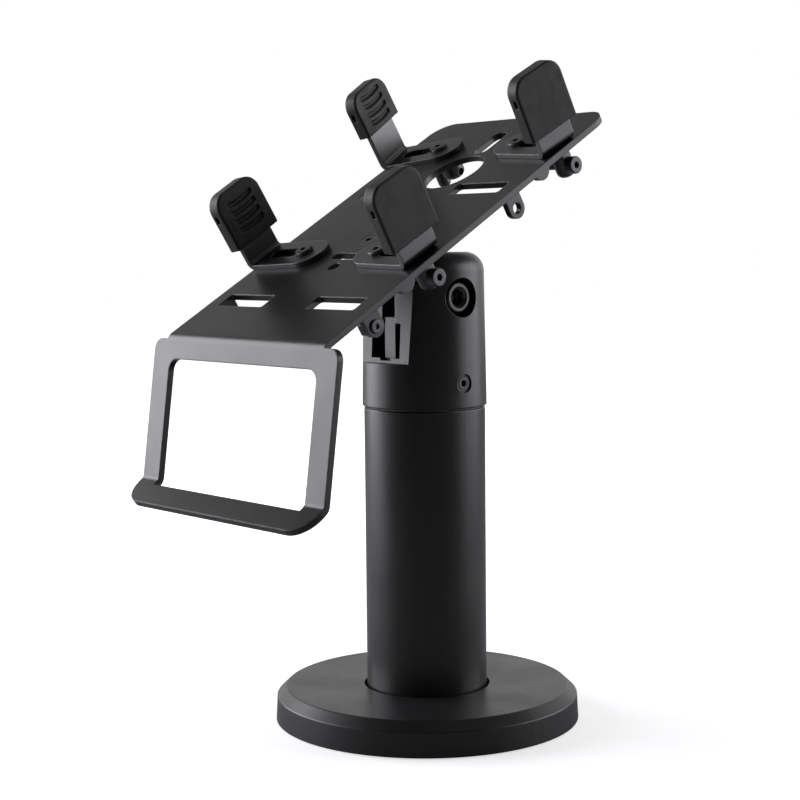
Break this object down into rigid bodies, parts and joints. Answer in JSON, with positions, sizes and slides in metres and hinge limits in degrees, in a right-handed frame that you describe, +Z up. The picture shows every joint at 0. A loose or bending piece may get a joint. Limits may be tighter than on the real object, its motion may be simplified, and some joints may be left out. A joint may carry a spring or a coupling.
{
  "type": "card terminal stand",
  "caption": "Counter stand for a card terminal: round weighted base, pole, swivel head and tilting grip plate with padded sliding arms and a hanging front loop.",
  "frame": {"origin": "centre of the base's underside", "axes": "+Z up the pole; -Y towards the person using the terminal, the side the loop hangs on; +X to that person's right, the side the clamp screws are worked from"},
  "size_m": [0.1214, 0.1666, 0.2586],
  "materials": {
    "base_paint": "fine satin black powder coat",
    "pole_paint": "smooth satin black coat",
    "head_paint": "satin black coat over a casting",
    "plate_paint": "satin black coat on sheet steel",
    "arm_paint": "satin black coat on bent steel strip",
    "black_oxide": "black oxide screws and bars",
    "zinc_steel": "plain plated steel, hidden",
    "base_rubber": "thin non-slip rubber",
    "grip_rubber": "moulded silicone rubber",
    "grey_nylon": "low-friction nylon"
  },
  "bodies": {
    "stand": {"base_cover": "base_paint", "base_weight": "zinc_steel", "base_pad": "base_rubber", "pole_foot": "zinc_steel", "foot_screws": "black_oxide", "pole_tube": "pole_paint", "swivel_spigot": "grey_nylon", "swivel_ring": "grey_nylon"},
    "head": {"head_shell": "head_paint", "swivel_set_screw": "black_oxide", "pivot_bolt": "black_oxide", "pivot_nut": "black_oxide", "friction_washers": "grey_nylon"},
    "plate": {"tilt_bracket": "plate_paint", "bracket_screws": "black_oxide", "grip_plate": "plate_paint", "ear_screws": "black_oxide", "ear_nuts": "black_oxide"},
    "front_left_gripper": {"front_left_arm": "arm_paint", "front_left_grip_pad": "grip_rubber", "front_left_slider": "black_oxide", "front_left_slider_screw": "black_oxide"},
    "front_right_gripper": {"front_right_arm": "arm_paint", "front_right_grip_pad": "grip_rubber", "front_right_slider": "black_oxide", "front_right_slider_screw": "black_oxide"},
    "rear_left_gripper": {"rear_left_arm": "arm_paint", "rear_left_grip_pad": "grip_rubber", "rear_left_slider": "black_oxide", "rear_left_slider_screw": "black_oxide"},
    "rear_right_gripper": {"rear_right_arm": "arm_paint", "rear_right_grip_pad": "grip_rubber", "rear_right_slider": "black_oxide", "rear_right_slider_screw": "black_oxide"},
    "front_clamp": {"front_clamp_screw": "black_oxide"},
    "rear_clamp": {"rear_clamp_screw": "black_oxide"}
  },
  "joints": [
    {"name": "head_swivel", "type": "hinge", "parent": "stand", "child": "head", "pos_m": [0, 0, 0.1255], "axis": [0, 0, 1], "range_deg": [-165, 165]},
    {"name": "plate_tilt", "type": "hinge", "parent": "head", "child": "plate", "pos_m": [0, -0.0012, 0.1685], "axis": [1, 0, 0], "range_deg": [-30, 28]},
    {"name": "front_left_arm_slide", "type": "slide", "parent": "plate", "child": "front_left_gripper", "axis": [1, 0, 0], "range_m": [-0.002, 0.004]},
    {"name": "front_right_arm_slide", "type": "slide", "parent": "plate", "child": "front_right_gripper", "axis": [1, 0, 0], "range_m": [-0.016, 0.004]},
    {"name": "rear_left_arm_slide", "type": "slide", "parent": "plate", "child": "rear_left_gripper", "axis": [1, 0, 0], "range_m": [-0.002, 0.004]},
    {"name": "rear_right_arm_slide", "type": "slide", "parent": "plate", "child": "rear_right_gripper", "axis": [1, 0, 0], "range_m": [-0.008, 0.002]},
    {"name": "front_clamp_turn", "type": "hinge", "parent": "front_right_gripper", "child": "front_clamp", "pos_m": [0.0435, -0.03423, 0.17707], "axis": [1, 0, 0], "range_deg": [-11560, 2910]},
    {"name": "rear_clamp_turn", "type": "hinge", "parent": "rear_right_gripper", "child": "rear_clamp", "pos_m": [0.045, 0.03627, 0.21894], "axis": [1, 0, 0], "range_deg": [-5800, 1460]}
  ],
  "couplings": [
    {"joint": "front_clamp_turn", "follows": "front_right_arm_slide", "rad_per_m": 12566},
    {"joint": "rear_clamp_turn", "follows": "rear_right_arm_slide", "rad_per_m": 12566}
  ]
}
